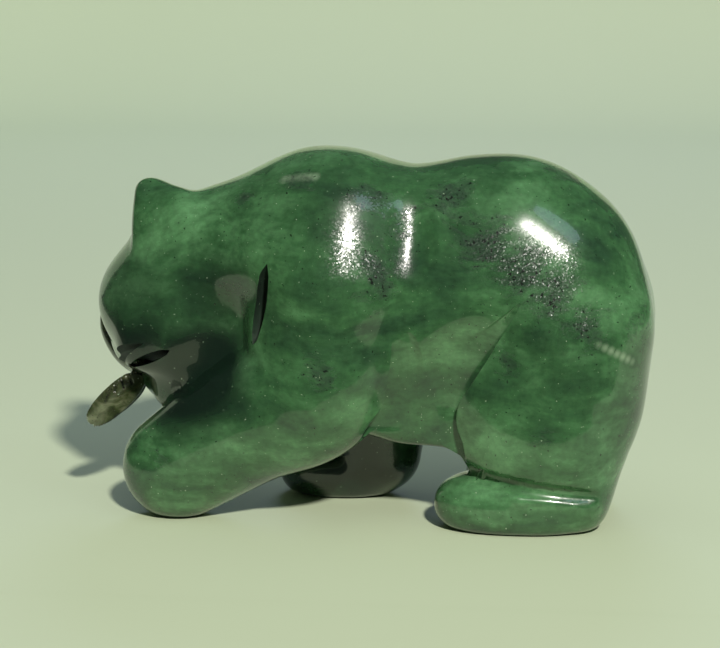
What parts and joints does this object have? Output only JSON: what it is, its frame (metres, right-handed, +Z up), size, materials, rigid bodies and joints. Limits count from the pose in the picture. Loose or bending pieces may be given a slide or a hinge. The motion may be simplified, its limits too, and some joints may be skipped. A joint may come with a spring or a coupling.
{
  "type": "carved animal figure",
  "caption": "Polished jade carving of a walking bear with its head turned and lowered, holding a curved fish crosswise in its mouth.",
  "frame": {"origin": "centre of the bounding box in plan, at the height of the soles", "axes": "+Z up; the bear walks towards -X and its left side faces -Y"},
  "size_m": [0.132, 0.0546, 0.0846],
  "materials": {
    "green_jade": "polished",
    "olive_jade": "polished"
  },
  "bodies": {
    "root": {"bear": "green_jade", "fish": "olive_jade"}
  },
  "joints": []
}
